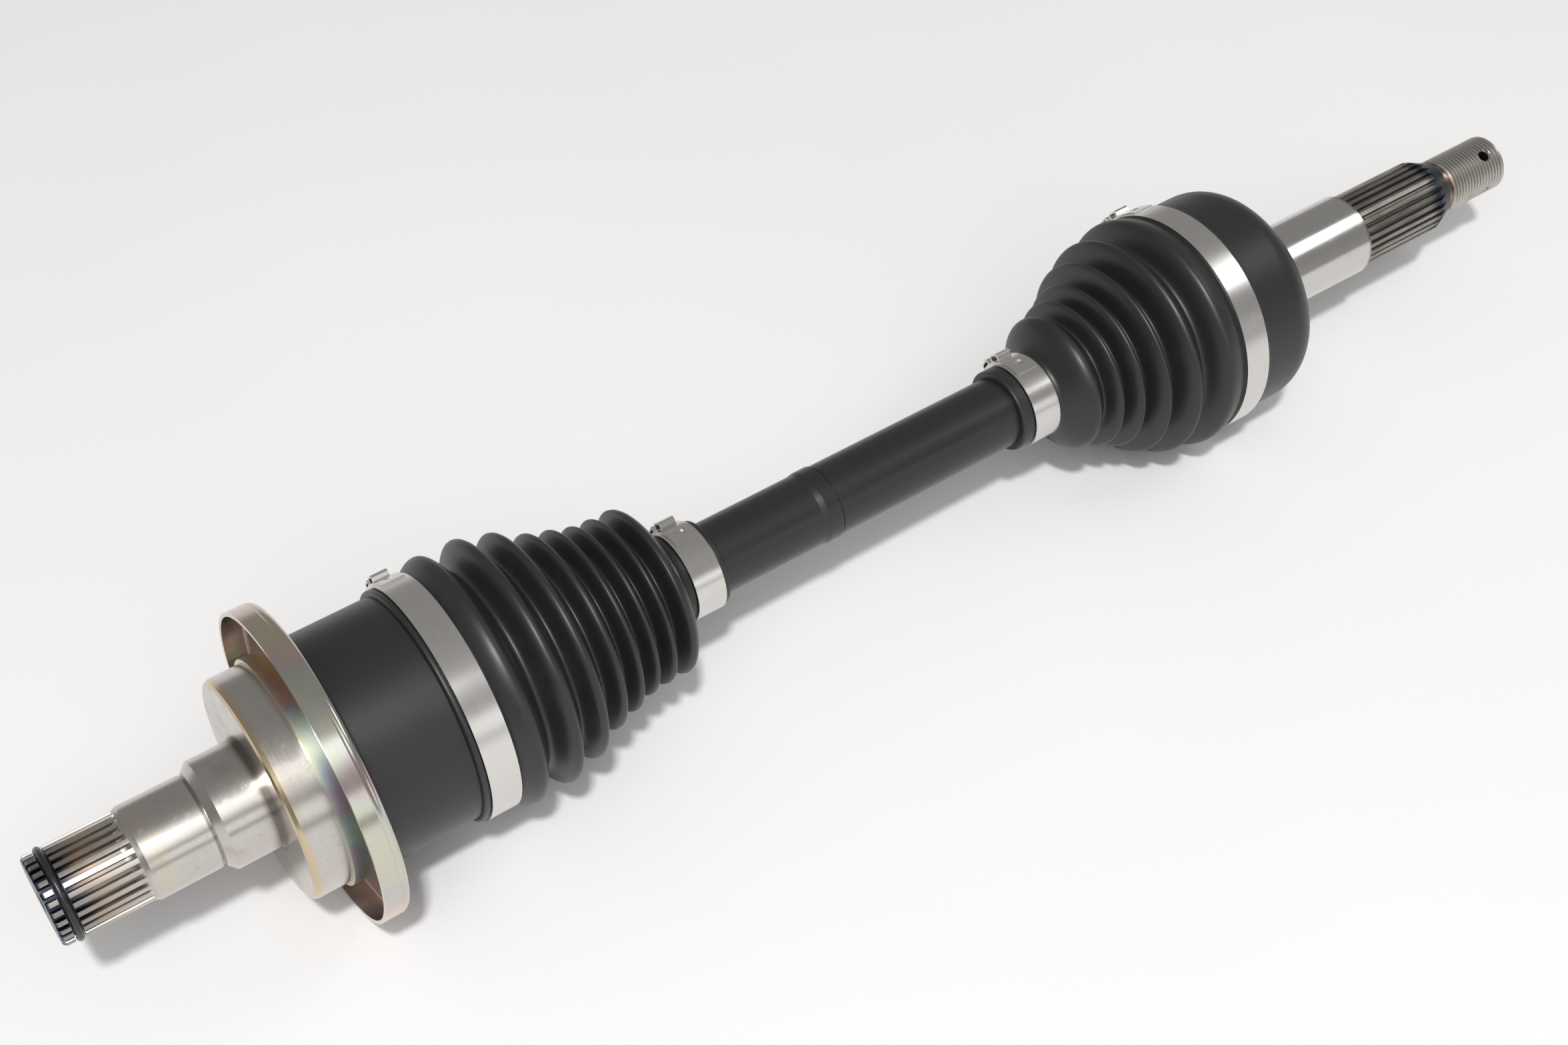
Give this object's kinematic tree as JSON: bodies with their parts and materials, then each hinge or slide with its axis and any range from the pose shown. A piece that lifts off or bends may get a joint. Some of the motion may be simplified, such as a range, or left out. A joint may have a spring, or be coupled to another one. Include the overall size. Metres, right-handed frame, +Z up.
{
  "type": "constant velocity drive axle",
  "caption": "Front-wheel half shaft: plunging ball joint and bellows at the gearbox end, fixed ball joint and bellows at the wheel end, splined stubs at both ends.",
  "frame": {"origin": "on the axle's axis, at half its length, with both joints straight and the inboard joint at mid travel", "axes": "+X along the axle from the gearbox end to the wheel end, +Z up, +Y completes the frame; a deflector rim and the boots stand on the floor below"},
  "size_m": [0.553, 0.097, 0.097],
  "materials": {
    "housing_steel": "machined steel with heat tint, black painted barrel and bell",
    "black_paint": "satin black",
    "yellow_zinc": "iridescent yellow passivated zinc",
    "black_wire": "satin black phosphate",
    "spring_steel": "oiled spring steel",
    "bearing_steel": "polished",
    "hardened_steel": "ground, lightly oiled",
    "boot_rubber": "satin moulded rubber",
    "clamp_steel": "rolled stainless band"
  },
  "bodies": {
    "inboard_housing": {"inboard_housing": "housing_steel", "inboard_stop_ring": "black_wire", "dust_deflector": "yellow_zinc", "inboard_retaining_ring": "spring_steel", "inboard_large_clamp": "clamp_steel"},
    "inboard_plunger": {"inboard_boot": "boot_rubber"},
    "inboard_cage": {"inboard_cage": "hardened_steel", "inboard_ball_1": "bearing_steel", "inboard_ball_2": "bearing_steel", "inboard_ball_3": "bearing_steel", "inboard_ball_4": "bearing_steel", "inboard_ball_5": "bearing_steel", "inboard_ball_6": "bearing_steel"},
    "shaft": {"shaft": "black_paint", "inboard_inner_race": "hardened_steel", "inboard_race_circlip_1": "spring_steel", "inboard_race_circlip_2": "spring_steel", "inboard_small_clamp": "clamp_steel", "outboard_inner_race": "hardened_steel", "outboard_race_circlip_1": "spring_steel", "outboard_race_circlip_2": "spring_steel", "outboard_small_clamp": "clamp_steel", "outboard_boot": "boot_rubber"},
    "outboard_cage": {"outboard_cage": "hardened_steel", "outboard_ball_1": "bearing_steel", "outboard_ball_2": "bearing_steel", "outboard_ball_3": "bearing_steel", "outboard_ball_4": "bearing_steel", "outboard_ball_5": "bearing_steel", "outboard_ball_6": "bearing_steel"},
    "outboard_housing": {"outboard_housing": "housing_steel", "outboard_large_clamp": "clamp_steel"}
  },
  "joints": [
    {"name": "inboard_plunge", "type": "slide", "parent": "inboard_housing", "child": "inboard_plunger", "axis": [1, 0, 0], "range_m": [-0.009, 0.011], "deforming": ["inboard_boot"]},
    {"name": "inboard_swing_side", "type": "hinge", "parent": "inboard_plunger", "child": "inboard_cage", "pos_m": [-0.17425, 0, 0], "axis": [0, 0, 1], "range_deg": [-15, 15], "deforming": ["inboard_boot"]},
    {"name": "inboard_swing_lift", "type": "hinge", "parent": "inboard_cage", "child": "shaft", "pos_m": [-0.17425, 0, 0], "axis": [0, 1, 0], "range_deg": [-15, 15], "deforming": ["inboard_boot"]},
    {"name": "outboard_swing_lift", "type": "hinge", "parent": "shaft", "child": "outboard_cage", "pos_m": [0.13075, 0, 0], "axis": [0, 1, 0], "range_deg": [-30, 30], "deforming": ["outboard_boot"]},
    {"name": "outboard_swing_side", "type": "hinge", "parent": "outboard_cage", "child": "outboard_housing", "pos_m": [0.13075, 0, 0], "axis": [0, 0, 1], "range_deg": [-30, 30], "deforming": ["outboard_boot"]}
  ]
}
